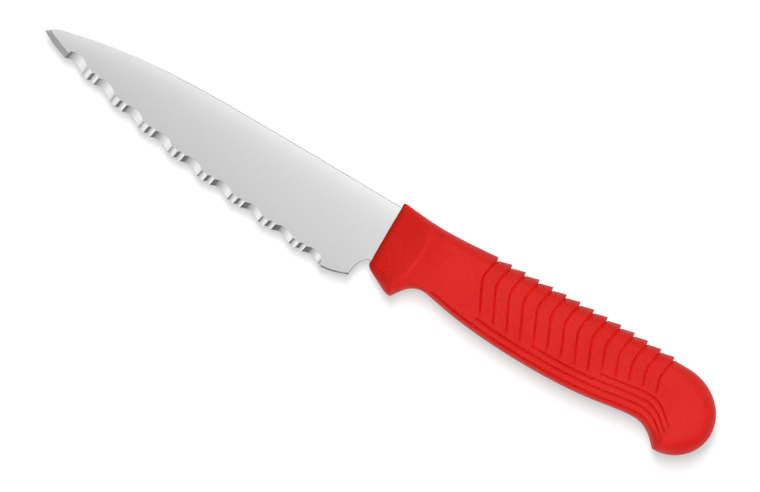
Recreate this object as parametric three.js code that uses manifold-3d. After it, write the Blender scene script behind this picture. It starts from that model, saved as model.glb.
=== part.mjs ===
// A serrated kitchen utility knife: a steel blade whose hidden tang is held in a one-piece plastic handle.
//
// Millimetres, +Z up. The knife lies on its side on the plane Z = 0, with its tip towards -X, its butt
// towards +X, its spine towards +Y and the ground side of its edge facing up. The origin is under the middle
// of its outline. While it is drawn, X = 0 is the handle's front face, Y = 0 the spine at that face and
// Z = 0 the blade's mid-plane, so each depth is measured down from the spine and each rise up from it.

import * as THREE from 'three';
import { LoftGeometry } from 'three/addons/geometries/LoftGeometry.js';
import { mergeVertices } from 'three/addons/utils/BufferGeometryUtils.js';
import Module from 'manifold-3d';

// Blade
const BLADE_LENGTH = 114.4;
const SPINE_THICKNESS = 1.5;
const HEEL_THICKNESS = 0.85;
const SPINE_CROWN = 0.45;
const SPINE_CROWN_AT = 55;
const POINT_LENGTH = 4.4;
const POINT_DEPTH = 5.15;
const POINT_SLOPE = 0.26;
const TIP_DEPTH = 7.8;
const HEEL_DEPTH = 26.5;
const HEEL_AT = 12.2;
const HEEL_LEVEL = 3.6;
const HEEL_CORNER_RISE = 2.1;
const CHOIL_LENGTH = 3.6;
const CHOIL_DEPTH = 17.8;

// Cutting edge: one wide scallop, then two narrow ones, again and again, all ground from one side
const WIDE_SCALLOP = 6.4;
const WIDE_SCALLOP_RISE = 1.1;
const FRONT_NARROW_SCALLOP = 2.05;
const FRONT_NARROW_RISE = 0.22;
const REAR_NARROW_SCALLOP = 2.4;
const REAR_NARROW_RISE = 0.55;
const WIDE_START_RECESS = 0.55;
const WIDE_END_RECESS = 0.3;
const SHORTEST_PLAIN_EDGE = 8;
const PLAIN_EDGE_DEPTH = 11.6;
const PLAIN_EDGE_BOW = 0.25;
const EDGE_SWEEP_TIP = 9.65;
const EDGE_SWEEP_HEEL = 2.35;
const BEVEL_AT_TIP = 2.45;
const BEVEL_AT_HEEL = 1.85;
const BEVEL_LEAN = 0.22;
const PLAIN_BEVEL = 1.7;
const WIDE_STEPS = 12;
const NARROW_STEPS = 6;

// Shoulder and tang, inside the handle, with holes spread evenly between the tang's solid ends
const SHOULDER_LENGTH = 3;
const TANG_LENGTH = 72;
const TANG_TOP_DEPTH = 4.2;
const TANG_HEIGHT = 9;
const TANG_HOLE_DIAMETER = 5;
const TANG_SOLID_FRONT = 8;
const TANG_SOLID_END = 4;
const TANG_HOLES = 3;
const TANG_CLEARANCE = 0.3;

// Handle: lengths along it
const COLLAR_LENGTH = 8.5;
const NECK_LENGTH = 22.8;
const STEP_COUNT = 14;
const STEP_PITCH = 4.47;
const BUTT_LENGTH = 20.3;
const GUARD_AT = 9.6;
const NOTCH_AT = 18.5;
const WAIST_AT = 14;
const BELLY_AT = 23.7;
const CROWN_AT = 41.7;
const HOOK_BEFORE_BUTT = 1.4;
const TOE_BEFORE_END = 12.4;
const BUTT_TOP_BEFORE_END = 15.2;

// Handle: top edge and belly
const FRONT_RISE = 1.7;
const WAIST_RISE = 0.65;
const CROWN_RISE = 1.8;
const BUTT_RISE = 1.5;
const WAIST_LEVEL = 5.6;
const FRONT_RIM = 1;
const FRONT_CORNER_DROP = 0.7;
const FRONT_CORNER_ROUND = 1.9;
const GUARD_DEPTH = 23.8;
const GUARD_ROUND = 1.3;
const NOTCH_DEPTH = 17.7;
const BELLY_DEPTH = 21.4;
const HOOK_DEPTH = 18.5;
const TOE_DEPTH = 23.75;
const END_DEPTH = 12;

// Handle: thickness and rounding
const HANDLE_THICKNESS = 15;
const FRONT_THICKNESS = 9.5;
const TOP_ROUND = 3.2;
const BELLY_ROUND = 2.2;
const BUTT_ROUND = 6;
const CREST_BULGE = 2.8;

// Grip steps: each rises towards the butt and drops at its rear line, which bends forward to a nose
const STEP_RISE_TOP = 0.85;
const STEP_RISE_SIDE = 0.45;
const STEP_FALL = 0.3;
const NECK_EASE = 1.6;
const NOSE_DEPTH = 5.7;
const NOSE_REACH = 1.5;
const NOSE_ROUND = 3;
const LEG_SLOPE_FIRST = 0.5;
const LEG_SLOPE_LAST = 0.37;

// Belly lines: shallow steps down towards the belly, which the grip steps end on
const LINE_COUNT = 4;
const LINE_ABOVE_BELLY = 1.5;
const LINE_PITCH = 2.1;
const LINE_STEP = 0.16;
const LINE_WIDTH = 0.3;
const LINES_START = 13;
const LINES_RUN_IN = 11;
const LINES_RUN_OUT = 9;
const STEPS_ON_SECOND_LINE = 4;
const STEPS_ON_THIRD_LINE = 5;

// Where the worked-out places fall
const HEEL_CORNER_DEPTH = HEEL_DEPTH - HEEL_CORNER_RISE;
const FRONT_DEPTH = CHOIL_DEPTH + FRONT_RIM;
const FIRST_STEP = COLLAR_LENGTH + NECK_LENGTH;
const THIRD_LINE_FROM = FIRST_STEP + STEPS_ON_SECOND_LINE * STEP_PITCH;
const FOURTH_LINE_FROM = THIRD_LINE_FROM + STEPS_ON_THIRD_LINE * STEP_PITCH;
const LAST_STEP = FIRST_STEP + (STEP_COUNT - 1) * STEP_PITCH;
const HANDLE_LENGTH = LAST_STEP + BUTT_LENGTH;
const SCALLOP_GROUP = WIDE_SCALLOP + FRONT_NARROW_SCALLOP + REAR_NARROW_SCALLOP;
const GROUP_SPACE = BLADE_LENGTH - HEEL_AT - SHORTEST_PLAIN_EDGE - WIDE_SCALLOP;
const GROUPS = Math.floor(GROUP_SPACE / SCALLOP_GROUP);
const EDGE_START = -HEEL_AT - WIDE_SCALLOP - GROUPS * SCALLOP_GROUP;

const wasm = await Module();
wasm.setup();

const point = (x, y) => new THREE.Vector2(x, y);
const { lerp, clamp, smoothstep } = THREE.MathUtils;

// A closed geometry as a solid that can be joined and cut
function solid(geometry) {
  const bare = new THREE.BufferGeometry();
  bare.setAttribute('position', geometry.getAttribute('position'));
  bare.setIndex(geometry.index);
  const merged = mergeVertices(bare, 1e-4);
  const triangles = [];
  for (let i = 0; i < merged.index.count; i += 3) {
    const [a, b, c] = [0, 1, 2].map((corner) => merged.index.getX(i + corner));
    if (a !== b && b !== c && c !== a) triangles.push(a, b, c);
  }
  const vertProperties = new Float32Array(merged.getAttribute('position').array);
  const triVerts = new Uint32Array(triangles);
  return new wasm.Manifold(new wasm.Mesh({ numProp: 3, vertProperties, triVerts }));
}

function geometryOf(manifold) {
  const { vertProperties, triVerts } = manifold.getMesh();
  const geometry = new THREE.BufferGeometry();
  geometry.setAttribute('position', new THREE.BufferAttribute(vertProperties, 3));
  geometry.setIndex(new THREE.BufferAttribute(triVerts, 1));
  geometry.computeVertexNormals();
  return geometry;
}

// A flat shape with thickness, half of it on each side of the blade's mid-plane
function plate(shape, thickness, curveSegments) {
  const options = { depth: thickness, bevelEnabled: false, curveSegments };
  return new THREE.ExtrudeGeometry(shape, options).translate(0, 0, -thickness / 2);
}

// The line through the foremost teeth, from the plain edge to the heel
const edgeLine = new THREE.CubicBezierCurve(
  point(EDGE_START, -PLAIN_EDGE_DEPTH),
  point(lerp(EDGE_START, -HEEL_AT, 1 / 3), -PLAIN_EDGE_DEPTH - EDGE_SWEEP_TIP),
  point(lerp(EDGE_START, -HEEL_AT, 2 / 3), -HEEL_DEPTH + EDGE_SWEEP_HEEL),
  point(-HEEL_AT, -HEEL_DEPTH),
);

// A tooth between two scallops, set back from that line
function tooth(x, recess) {
  return edgeLine.getPoint((x - EDGE_START) / (-HEEL_AT - EDGE_START)).add(point(0, recess));
}

// The arc of one scallop over the line between two of its points
function scallop(from, to, rise, steps) {
  const chord = to.clone().sub(from);
  const half = chord.length() / 2;
  const radius = (half * half + rise * rise) / (2 * rise);
  const up = point(-chord.y, chord.x).normalize();
  const centre = from.clone().lerp(to, 0.5).addScaledVector(up, rise - radius);
  const spread = Math.asin(half / radius);
  const points = [];
  for (let i = 0; i <= steps; i++) {
    const arm = up.clone().multiplyScalar(radius);
    points.push(arm.rotateAround(point(0, 0), spread - (2 * spread * i) / steps).add(centre));
  }
  return points;
}

// The cutting edge on the blade's back face, each point with the way its bevel runs up to the front face
function edgePoints() {
  const tip = point(-BLADE_LENGTH, -TIP_DEPTH);
  const start = point(EDGE_START, -PLAIN_EDGE_DEPTH);
  const along = start.clone().sub(tip).normalize();
  const square = point(-along.y, along.x);
  const bow = tip.clone().lerp(start, 0.5).addScaledVector(square, -2 * PLAIN_EDGE_BOW);
  const plain = new THREE.QuadraticBezierCurve(tip, bow, start).getPoints(6);
  plain.unshift(tip.clone().addScaledVector(along, -PLAIN_BEVEL));
  const points = plain.map((p) => ({ p, bevel: square.clone().multiplyScalar(PLAIN_BEVEL) }));
  let last = start;
  const cut = (width, recess, rise, steps) => {
    const next = tooth(last.x + width, recess);
    for (const p of scallop(last, next, rise, steps)) {
      const reach = lerp(BEVEL_AT_TIP, BEVEL_AT_HEEL, (p.x - EDGE_START) / (-HEEL_AT - EDGE_START));
      points.push({ p, bevel: point(BEVEL_LEAN, 1).multiplyScalar(reach) });
    }
    last = next;
  };
  for (let group = 0; group < GROUPS; group++) {
    cut(WIDE_SCALLOP, WIDE_END_RECESS, WIDE_SCALLOP_RISE, WIDE_STEPS);
    cut(FRONT_NARROW_SCALLOP, 0, FRONT_NARROW_RISE, NARROW_STEPS);
    cut(REAR_NARROW_SCALLOP, WIDE_START_RECESS, REAR_NARROW_RISE, NARROW_STEPS);
  }
  cut(WIDE_SCALLOP, 0, WIDE_SCALLOP_RISE, WIDE_STEPS);
  // The last bevel runs out at the corner of the heel
  points.slice(-WIDE_STEPS).forEach(({ bevel }, i) => {
    bevel.multiplyScalar(Math.sqrt(1 - ((i + 1) / WIDE_STEPS) ** 6));
  });
  return points;
}

// What the grinding takes away: everything below a surface that climbs from the edge to the front face
function grinding() {
  const points = edgePoints();
  const first = points[0];
  const last = points[points.length - 1];
  const below = -HEEL_DEPTH - 2 * BEVEL_AT_TIP;
  const section = (height) => {
    const at = ({ p, bevel }) => p.clone().addScaledVector(bevel, height + 0.5);
    const outline = [...points.map(at), point(at(last).x, below), point(at(first).x, below)];
    return outline.map((p) => new THREE.Vector3(p.x, p.y, height)).reverse();
  };
  return solid(new LoftGeometry([section(-1), section(1)], { capStart: true, capEnd: true }));
}

// The blade before grinding, with stock to spare below the edge
function blankShape() {
  const stock = BEVEL_AT_TIP / 2;
  const shape = new THREE.Shape();
  shape.moveTo(SHOULDER_LENGTH / 2, -CHOIL_DEPTH);
  shape.lineTo(SHOULDER_LENGTH / 2, 0);
  shape.lineTo(0, 0);
  shape.quadraticCurveTo(-SPINE_CROWN_AT / 2, SPINE_CROWN, -SPINE_CROWN_AT, SPINE_CROWN);
  const pointAt = -BLADE_LENGTH + POINT_LENGTH;
  const reach = (pointAt + SPINE_CROWN_AT) / 3;
  shape.bezierCurveTo(
    -SPINE_CROWN_AT + reach, SPINE_CROWN,
    pointAt - reach, -POINT_DEPTH - POINT_SLOPE * reach,
    pointAt, -POINT_DEPTH,
  );
  const turn = POINT_LENGTH / 2;
  shape.quadraticCurveTo(pointAt - turn, -POINT_DEPTH - POINT_SLOPE * turn, -BLADE_LENGTH, -TIP_DEPTH);
  shape.lineTo(-BLADE_LENGTH, -TIP_DEPTH - stock);
  shape.lineTo(EDGE_START, -PLAIN_EDGE_DEPTH - stock);
  shape.bezierCurveTo(
    edgeLine.v1.x, edgeLine.v1.y - stock,
    edgeLine.v2.x, edgeLine.v2.y - stock,
    -HEEL_AT - stock, -HEEL_DEPTH - stock,
  );
  shape.lineTo(-HEEL_AT, -HEEL_DEPTH);
  shape.quadraticCurveTo(-HEEL_AT + HEEL_LEVEL, -HEEL_DEPTH, -CHOIL_LENGTH, -HEEL_CORNER_DEPTH);
  const choilHeight = HEEL_CORNER_DEPTH - CHOIL_DEPTH;
  shape.absellipse(0, -HEEL_CORNER_DEPTH, CHOIL_LENGTH, choilHeight, Math.PI, Math.PI / 2, true);
  return shape;
}

// The outline of the steel's shoulder, or of its room in the handle when it is grown by the clearance
function shoulderShape(grow) {
  const shape = new THREE.Shape();
  shape.moveTo(-grow, grow);
  shape.lineTo(-grow, -CHOIL_DEPTH - grow);
  shape.lineTo(SHOULDER_LENGTH + grow, -CHOIL_DEPTH - grow);
  shape.lineTo(SHOULDER_LENGTH + grow, grow);
  return shape;
}

// The tang's outline, or its room in the handle when it is grown by the clearance
function tangShape(grow) {
  const middle = -TANG_TOP_DEPTH - TANG_HEIGHT / 2;
  const half = TANG_HEIGHT / 2 + grow;
  const shape = new THREE.Shape();
  shape.moveTo(SHOULDER_LENGTH / 2, middle - half);
  shape.lineTo(TANG_LENGTH - TANG_HEIGHT / 2, middle - half);
  shape.absarc(TANG_LENGTH - TANG_HEIGHT / 2, middle, half, -Math.PI / 2, Math.PI / 2);
  shape.lineTo(SHOULDER_LENGTH / 2, middle + half);
  for (let hole = 0; hole < TANG_HOLES; hole++) {
    const x = lerp(TANG_SOLID_FRONT, TANG_LENGTH - TANG_SOLID_END, (hole + 0.5) / TANG_HOLES);
    shape.holes.push(new THREE.Path().absarc(x, middle, TANG_HOLE_DIAMETER / 2 - grow, 0, 2 * Math.PI));
  }
  return shape;
}

// The shoulder and tang, or their room in the handle when they are grown by the clearance
function buriedSteel(grow) {
  const thickness = SPINE_THICKNESS + 2 * grow;
  return solid(plate(shoulderShape(grow), thickness, 1)).add(solid(plate(tangShape(grow), thickness, 12)));
}

// The ground blade thins from the spine to the edge, the buried steel keeps the full thickness
function bladeGeometry() {
  const slab = solid(plate(blankShape(), 1, 24)).subtract(grinding());
  const ground = geometryOf(slab);
  const positions = ground.getAttribute('position');
  for (let i = 0; i < positions.count; i++) {
    const depth = -positions.getY(i) / HEEL_DEPTH;
    positions.setZ(i, positions.getZ(i) * lerp(SPINE_THICKNESS, HEEL_THICKNESS, depth));
  }
  return geometryOf(solid(ground).add(buriedSteel(0)));
}

// A curve between two places where an edge of the handle runs level, near level for a share at each end
function swell(from, to, leave, arrive) {
  const span = to.x - from.x;
  return new THREE.CubicBezierCurve(
    from,
    point(from.x + leave * span, from.y),
    point(to.x - arrive * span, to.y),
    to,
  );
}

// The handle's top edge along the feet of the grip steps, front to end
const topEdge = new THREE.CurvePath();
const buttTop = point(HANDLE_LENGTH - BUTT_TOP_BEFORE_END, BUTT_RISE);
const crown = point(FIRST_STEP + CROWN_AT, CROWN_RISE);
const waist = point(WAIST_AT, WAIST_RISE);
topEdge.add(new THREE.QuadraticBezierCurve(
  point(0, FRONT_RISE), point(WAIST_AT - WAIST_LEVEL, WAIST_RISE), waist,
));
topEdge.add(swell(waist, crown, 0.42, 0.31));
topEdge.add(swell(crown, buttTop, 0.4, 0.4));
topEdge.add(new THREE.EllipseCurve(
  buttTop.x, -END_DEPTH, BUTT_TOP_BEFORE_END, BUTT_RISE + END_DEPTH, Math.PI / 2, 0, true,
));

// The handle's belly, front to end: collar chamfer, guard, finger notch, belly, hook, toe and butt
const belly = new THREE.CurvePath();
const corner = point(0, -FRONT_DEPTH - FRONT_CORNER_DROP);
const guardCorner = point(GUARD_AT - GUARD_ROUND, -GUARD_DEPTH);
const chamfer = guardCorner.clone().sub(corner).normalize();
const chamferStart = corner.clone().addScaledVector(chamfer, FRONT_CORNER_ROUND);
const chamferEnd = guardCorner.clone().addScaledVector(chamfer, -GUARD_ROUND);
const guard = point(GUARD_AT, -GUARD_DEPTH);
const notch = point(NOTCH_AT, -NOTCH_DEPTH);
const swellOfBelly = point(FIRST_STEP + BELLY_AT, -BELLY_DEPTH);
const hook = point(LAST_STEP - HOOK_BEFORE_BUTT, -HOOK_DEPTH);
const toe = point(HANDLE_LENGTH - TOE_BEFORE_END, -TOE_DEPTH);
belly.add(new THREE.QuadraticBezierCurve(point(0, -FRONT_DEPTH), corner, chamferStart));
belly.add(new THREE.LineCurve(chamferStart, chamferEnd));
belly.add(new THREE.QuadraticBezierCurve(chamferEnd, guardCorner, guard));
belly.add(swell(guard, notch, 0.13, 0.67));
belly.add(swell(notch, swellOfBelly, 0.11, 0.66));
belly.add(swell(swellOfBelly, hook, 0.6, 0.21));
belly.add(swell(hook, toe, 0.62, 0.08));
belly.add(new THREE.EllipseCurve(
  toe.x, -END_DEPTH, TOE_BEFORE_END, TOE_DEPTH - END_DEPTH, -Math.PI / 2, 0,
));

// The height of an edge of the handle at a distance from its front
function heightAt(edge, x) {
  const curve = edge.curves.find((part) => x <= part.getPoint(1).x) ?? edge.curves.at(-1);
  let [low, high] = [0, 1];
  for (let i = 0; i < 40; i++) {
    const middle = (low + high) / 2;
    if (curve.getPoint(middle).x < x) low = middle;
    else high = middle;
  }
  return curve.getPoint(high).y;
}

// An edge of the handle as short straight runs
function runsAlong(edge) {
  const points = edge.curves.flatMap((curve) => curve.getPoints(24)).map((p) => new THREE.Vector3(p.x, p.y));
  return points.slice(1).map((p, i) => new THREE.Line3(points[i], p));
}

const topRuns = runsAlong(topEdge);
const bellyRuns = runsAlong(belly);

// How far in from an edge of the handle a place on its side is
function fromEdge(runs, x, y) {
  const place = new THREE.Vector3(x, y);
  const nearest = new THREE.Vector3();
  return Math.min(...runs.map((run) => run.closestPointToPoint(place, true, nearest).distanceTo(place)));
}

// How far behind its top end a grip step's line is, at a depth below the top edge
function stepLine(depth, slope) {
  const short = Math.min(depth / NOSE_DEPTH, 1);
  const past = Math.max(depth - NOSE_DEPTH, 0);
  const bend = Math.min(past, NOSE_ROUND);
  const leg = bend * bend / (2 * NOSE_ROUND) + past - bend;
  return slope * leg - NOSE_REACH * (1 - (1 - short) ** 2);
}

// How far behind its top end the collar's crest is, at a share of its way down to the guard. It bulges by
// its full amount a third of the way down, where share * (1 - share) ** 2 is 1 / 6.75.
function crestLine(share) {
  const lean = GUARD_AT - COLLAR_LENGTH;
  return CREST_BULGE * 6.75 * share * (1 - share) ** 2 + lean * share ** 3;
}

const lineGap = (line) => LINE_ABOVE_BELLY + (line - 1) * LINE_PITCH;

// The belly line that the grip steps end on, which glides from the second to the third and on to the fourth
function lineUnder(x) {
  const glide = 2 * STEP_PITCH;
  const third = smoothstep(x, THIRD_LINE_FROM - glide, THIRD_LINE_FROM + glide);
  const fourth = smoothstep(x, FOURTH_LINE_FROM - glide, FOURTH_LINE_FROM + glide);
  return 2 + third + fourth;
}

// The rows of points down one side of the handle, each with the number of belly lines below it
const rounding = [0, 1, 2, 3, 4].map((i) => TOP_ROUND * (1 - Math.cos((i * Math.PI) / 8)));
const rows = [
  ...rounding.map((gap) => ({ below: gap, lines: LINE_COUNT })),
  ...[1, 2, 3, 4, 5].map((i) => ({ share: i / 6, lines: LINE_COUNT })),
];
for (let line = LINE_COUNT; line > 0; line--) {
  rows.push({ above: lineGap(line) + LINE_WIDTH / 2, lines: line });
  rows.push({ above: lineGap(line) - LINE_WIDTH / 2, lines: line - 1 });
}
for (const share of [0.5, 0.13, 0]) rows.push({ above: share * (lineGap(1) - LINE_WIDTH / 2), lines: 0 });

const highestLine = lineGap(LINE_COUNT) + LINE_WIDTH / 2;

// One ring round the handle, which leaves the top edge at x, as a closed run of points. The risen shares are
// how far the grip step here has climbed, and the zone is the belly line that it ends on.
function ring(x, risenTop, risenSide, zone) {
  const alongNeck = smoothstep(x, COLLAR_LENGTH, FIRST_STEP);
  const alongButt = smoothstep(x, LAST_STEP, HANDLE_LENGTH);
  const crestShare = x < COLLAR_LENGTH ? x / COLLAR_LENGTH : 1 - alongNeck;
  const stepShare = alongNeck * (1 - alongButt);
  const alongGrip = clamp((x - FIRST_STEP) / (LAST_STEP - FIRST_STEP), 0, 1);
  const slope = lerp(LEG_SLOPE_FIRST, LEG_SLOPE_LAST, alongGrip);
  const high = heightAt(topEdge, x);
  let low = heightAt(belly, x);
  const behind = (depth) => {
    const floor = high - low - lineGap(lineUnder(x));
    const bow = crestShare > 0 ? crestShare * crestLine(depth / (high - low)) : 0;
    return Math.min(x + bow + stepShare * stepLine(Math.min(depth, floor), slope), HANDLE_LENGTH);
  };
  for (let i = 0; i < 4; i++) low = heightAt(belly, behind(high - low));

  const squeeze = Math.min(1, (high - low) / (TOP_ROUND + 2 * highestLine));
  const faded = smoothstep(x, LINES_START, LINES_START + LINES_RUN_IN)
    * (1 - smoothstep(x, LAST_STEP + LINES_RUN_OUT / 2, LAST_STEP + LINES_RUN_OUT));
  const climbed = (LINE_COUNT - 1) * LINE_STEP + STEP_RISE_SIDE * risenSide;
  const half = x < COLLAR_LENGTH
    ? lerp(FRONT_THICKNESS, HANDLE_THICKNESS, x / COLLAR_LENGTH) / 2
    : HANDLE_THICKNESS / 2 - STEP_RISE_SIDE * clamp((x - COLLAR_LENGTH) / NECK_LENGTH, 0, 1);
  const core = half - (LINE_COUNT - 1) * LINE_STEP;
  const butt = smoothstep(x, LAST_STEP, HANDLE_LENGTH - BUTT_ROUND);
  const topRound = lerp(TOP_ROUND, BUTT_ROUND, butt);
  const bellyRound = lerp(BELLY_ROUND, BUTT_ROUND, butt);

  const side = rows.map(({ below, share, above, lines }) => {
    const from = high - TOP_ROUND * squeeze;
    const to = low + highestLine * squeeze;
    let y = lerp(from, to, share);
    if (below !== undefined) y = high - below * squeeze;
    if (above !== undefined) y = low + above * squeeze;
    const across = behind(high - y);
    const inTop = below === 0 ? 0 : fromEdge(topRuns, across, y) / topRound;
    const inBelly = above === 0 ? 0 : fromEdge(bellyRuns, across, y) / bellyRound;
    const flat = Math.min(inTop, inBelly, 1);
    const swelling = Math.sqrt(1 - (1 - flat) ** 2);
    const level = lines >= zone ? climbed : lerp(climbed, lines * LINE_STEP, faded);
    const proud = below === undefined ? -lines * LINE_STEP * faded : STEP_RISE_TOP * risenTop;
    return new THREE.Vector3(across, y + proud * (1 - flat), (core + level) * swelling);
  });
  const far = side.slice(1, -1).reverse().map((p) => new THREE.Vector3(p.x, p.y, -p.z));
  return [...side, ...far];
}

function handleSections() {
  const sections = [];
  for (const share of [0, 0.05, 0.12, 0.24, 0.53, 0.88]) {
    sections.push(ring(share * COLLAR_LENGTH, 0, 0, 1));
  }
  const neckRings = 14;
  for (let i = 0; i <= neckRings; i++) {
    const x = COLLAR_LENGTH + NECK_LENGTH * (i / neckRings) ** 1.5;
    const risen = clamp((x - WAIST_AT) / (FIRST_STEP - WAIST_AT), 0, 1) ** NECK_EASE;
    sections.push(ring(x, risen, risen, 1));
  }
  for (let step = 1; step < STEP_COUNT; step++) {
    const x = FIRST_STEP + (step - 1) * STEP_PITCH;
    let zone = LINE_COUNT;
    if (step <= STEPS_ON_SECOND_LINE + STEPS_ON_THIRD_LINE) zone = 3;
    if (step <= STEPS_ON_SECOND_LINE) zone = 2;
    sections.push(ring(x + STEP_FALL, 0, 0, zone));
    sections.push(ring(x + STEP_PITCH, 1, 1, zone));
  }
  const buttRings = 24;
  for (let i = 0; i < buttRings; i++) {
    const x = LAST_STEP + STEP_FALL + (BUTT_LENGTH - STEP_FALL) * Math.sin((i * Math.PI) / (2 * buttRings));
    sections.push(ring(x, 0, smoothstep(x, LAST_STEP, LAST_STEP + LINES_RUN_OUT), LINE_COUNT));
  }
  const end = new THREE.Vector3(HANDLE_LENGTH, -END_DEPTH, 0);
  sections.push(sections[0].map(() => end));
  return sections;
}

// The handle with the room that the buried steel takes up
function handleGeometry() {
  const body = solid(new LoftGeometry(handleSections(), { capStart: true }));
  return geometryOf(body.subtract(buriedSteel(TANG_CLEARANCE)));
}

const steel = new THREE.MeshStandardMaterial({ color: 0xd2d2d2, roughness: 0.35, metalness: 1 });
const redPlastic = new THREE.MeshStandardMaterial({ color: 0xdc2a24, roughness: 0.55, metalness: 0 });

const blade = new THREE.Mesh(bladeGeometry(), steel);
blade.name = 'blade';
const handle = new THREE.Mesh(handleGeometry(), redPlastic);
handle.name = 'handle';

// Laid down with the origin under the middle of the knife
const knife = new THREE.Group();
knife.add(blade, handle);
const box = new THREE.Box3().setFromObject(knife);
const middle = box.getCenter(new THREE.Vector3());
for (const piece of knife.children) piece.position.set(-middle.x, -middle.y, -box.min.z);

export default knife;
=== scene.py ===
# %% [markdown]
# # A serrated utility knife
# The knife has two pieces: a steel blade and a handle moulded round its tang in red plastic. It lies on a
# white table with the ground side of its edge up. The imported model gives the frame, so both pieces are drawn
# in millimetres from the same point as the solids that they replace, and brought into metres at the end.

# %% Load the frame
import math

import bmesh
import bpy
import numpy as np
from mathutils import Matrix, Vector, kdtree
from mathutils.geometry import interpolate_bezier, intersect_point_line


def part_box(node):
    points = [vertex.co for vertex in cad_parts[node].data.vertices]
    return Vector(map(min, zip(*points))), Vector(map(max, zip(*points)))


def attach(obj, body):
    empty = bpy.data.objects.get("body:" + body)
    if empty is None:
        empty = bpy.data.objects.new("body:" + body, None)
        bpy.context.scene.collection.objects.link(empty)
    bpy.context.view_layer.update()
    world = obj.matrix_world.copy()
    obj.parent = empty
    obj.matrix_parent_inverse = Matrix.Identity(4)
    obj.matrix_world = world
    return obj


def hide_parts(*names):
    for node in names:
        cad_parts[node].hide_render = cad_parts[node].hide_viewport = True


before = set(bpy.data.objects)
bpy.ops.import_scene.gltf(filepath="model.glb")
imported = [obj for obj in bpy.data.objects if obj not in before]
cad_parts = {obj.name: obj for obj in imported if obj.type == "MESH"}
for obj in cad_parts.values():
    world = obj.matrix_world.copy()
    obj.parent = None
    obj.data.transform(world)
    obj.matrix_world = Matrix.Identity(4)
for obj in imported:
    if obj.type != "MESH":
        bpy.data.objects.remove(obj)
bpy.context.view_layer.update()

# %% [markdown]
# ## Where the drawing starts
# The drawing's origin is on the handle's front face, at the height of the blade's spine and in the middle of
# the knife's thickness. X runs to the butt and Y from the edge to the spine. The boxes of the two solids
# give that point, and the lengths of the blade and the handle with it.

# %% The drawing's frame
MM = 0.001
SPINE_CROWN = 0.45
blade_low, blade_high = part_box("blade")
handle_low, handle_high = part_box("handle")
origin = Vector((
    handle_low.x,
    blade_high.y - SPINE_CROWN * MM,
    (handle_low.z + handle_high.z) / 2,
))
TO_METRES = Matrix.Translation(origin) @ Matrix.Scale(MM, 4)
BLADE_LENGTH = (handle_low.x - blade_low.x) / MM
HANDLE_LENGTH = (handle_high.x - handle_low.x) / MM
HANDLE_THICKNESS = (handle_high.z - handle_low.z) / MM
print(f"blade {BLADE_LENGTH:.1f} mm, handle {HANDLE_LENGTH:.1f} mm by {HANDLE_THICKNESS:.1f} mm")


def lerp(low, high, share):
    return low + (high - low) * share


def smoothstep(low, high, value):
    share = min(max((value - low) / (high - low), 0), 1)
    return share * share * (3 - 2 * share)


# %% [markdown]
# ## The handle's outline
# Seen from the side, the handle has a top edge and a belly. Both could be traced point by point, but an
# outline with few knots stays smooth, so each is a chain of Bezier stretches: curves that run level where the
# outline has a high or low place, quarter rounds at the butt, and small rounded corners at the front.

# %% Bezier stretches
ROUND_HANDLE = 0.5523


def swell(start, end, leave, arrive):
    """A stretch that runs level at both ends, for these shares of its length."""
    span = end.x - start.x
    return start, start + Vector((leave * span, 0)), end - Vector((arrive * span, 0)), end


def corner(start, control, end):
    """A rounded corner that would come to a point at the control."""
    return start, start.lerp(control, 2 / 3), end.lerp(control, 2 / 3), end


def straight(start, end):
    return start, start.lerp(end, 1 / 3), start.lerp(end, 2 / 3), end


def quarter(level, upright):
    """A quarter of an ellipse, level at one end and upright at the other."""
    reach = (upright - level) * ROUND_HANDLE
    return level, level + Vector((reach.x, 0)), upright - Vector((0, reach.y)), upright


def points_along(stretches, count):
    """Points along a chain of stretches, this many on each, with no point given twice."""
    points = []
    for stretch in stretches:
        points += interpolate_bezier(*stretch, count)[1 if points else 0:]
    return points


round_corner = points_along([quarter(Vector((0, 10)), Vector((10, 0)))], 3)
print("a quarter round of 10 mm:", [point.to_tuple(2) for point in round_corner])

# %% [markdown]
# Two questions come up again and again about an edge of the handle: how high is it here, and how far in from
# it is this place? A small class answers both. The second one uses Blender's k-d tree to find the nearest
# point of the edge, and then the nearest place on the two short lines that meet there.

# %% An edge that can be measured from
OUTLINE_POINTS = 80


class Outline:
    """A chain of stretches as a row of points, which can be asked for a height or a distance."""

    def __init__(self, stretches):
        self.points = points_along(stretches, OUTLINE_POINTS)
        self.tree = kdtree.KDTree(len(self.points))
        for i, point in enumerate(self.points):
            self.tree.insert(point.to_3d(), i)
        self.tree.balance()

    def height(self, x):
        return float(np.interp(x, [p.x for p in self.points], [p.y for p in self.points]))

    def distance(self, place):
        nearest = self.tree.find(place.to_3d())[1]
        gaps = []
        for i in range(max(nearest - 1, 0), min(nearest + 1, len(self.points) - 1)):
            start, end = self.points[i], self.points[i + 1]
            share = intersect_point_line(place, start, end)[1]
            gaps.append((start.lerp(end, min(max(share, 0), 1)) - place).length)
        return min(gaps)


slant = Outline([straight(Vector((0, 0)), Vector((4, 3)))])
print(f"a slope of 3 on 4: {slant.height(2):.2f} high at 2, {slant.distance(Vector((0, 5))):.2f} from 0, 5")

# %% [markdown]
# The top edge dips to a waist at the neck and swells along the grip. The belly has the guard, the notch for
# the first finger, the long swell under the grip and the hook of the butt. Each knot of the two chains is one
# of those places, measured in millimetres from the drawing's origin.

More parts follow.
